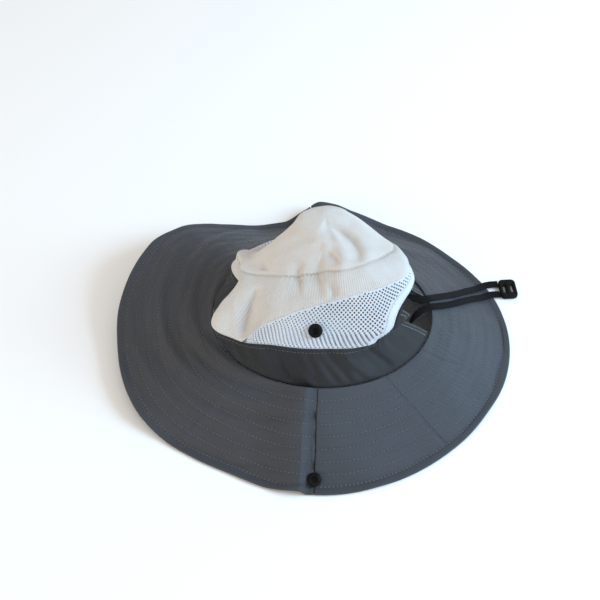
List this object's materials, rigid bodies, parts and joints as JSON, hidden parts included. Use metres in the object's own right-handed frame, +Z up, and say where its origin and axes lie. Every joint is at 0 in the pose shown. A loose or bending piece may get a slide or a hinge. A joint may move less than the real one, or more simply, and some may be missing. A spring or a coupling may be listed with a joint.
{
  "type": "wide brim sun hat",
  "caption": "Wide brim sun hat with a soft slumped crown, mesh side panels, a ponytail opening, snap-up brim and a chin strap with slider.",
  "frame": {"origin": "middle of the hat's footprint without the strap, on the surface that the rim rests on", "axes": "+Z up, +X to the rear with the ponytail opening, -Y to the wearer's left side"},
  "size_m": [0.3909, 0.3347, 0.1366],
  "materials": {
    "brim_cloth": "matte",
    "band_cloth": "matte",
    "crown_cloth": "matte",
    "sports_mesh": "matte",
    "trim_cloth": "matte",
    "snap_plastic": "satin",
    "strap_webbing": "matte",
    "buckle_plastic": "satin"
  },
  "bodies": {
    "root": {"brim_front": "brim_cloth", "brim_rear": "brim_cloth", "band": "band_cloth", "crown_side": "crown_cloth", "crown_tip": "crown_cloth", "mesh_left": "sports_mesh", "mesh_right": "sports_mesh", "opening_trim": "trim_cloth", "snap_brim_left": "snap_plastic", "snap_brim_right": "snap_plastic", "snap_crown_left": "snap_plastic", "snap_crown_right": "snap_plastic", "strap_left": "strap_webbing", "strap_right": "strap_webbing", "buckle": "buckle_plastic"}
  },
  "joints": []
}
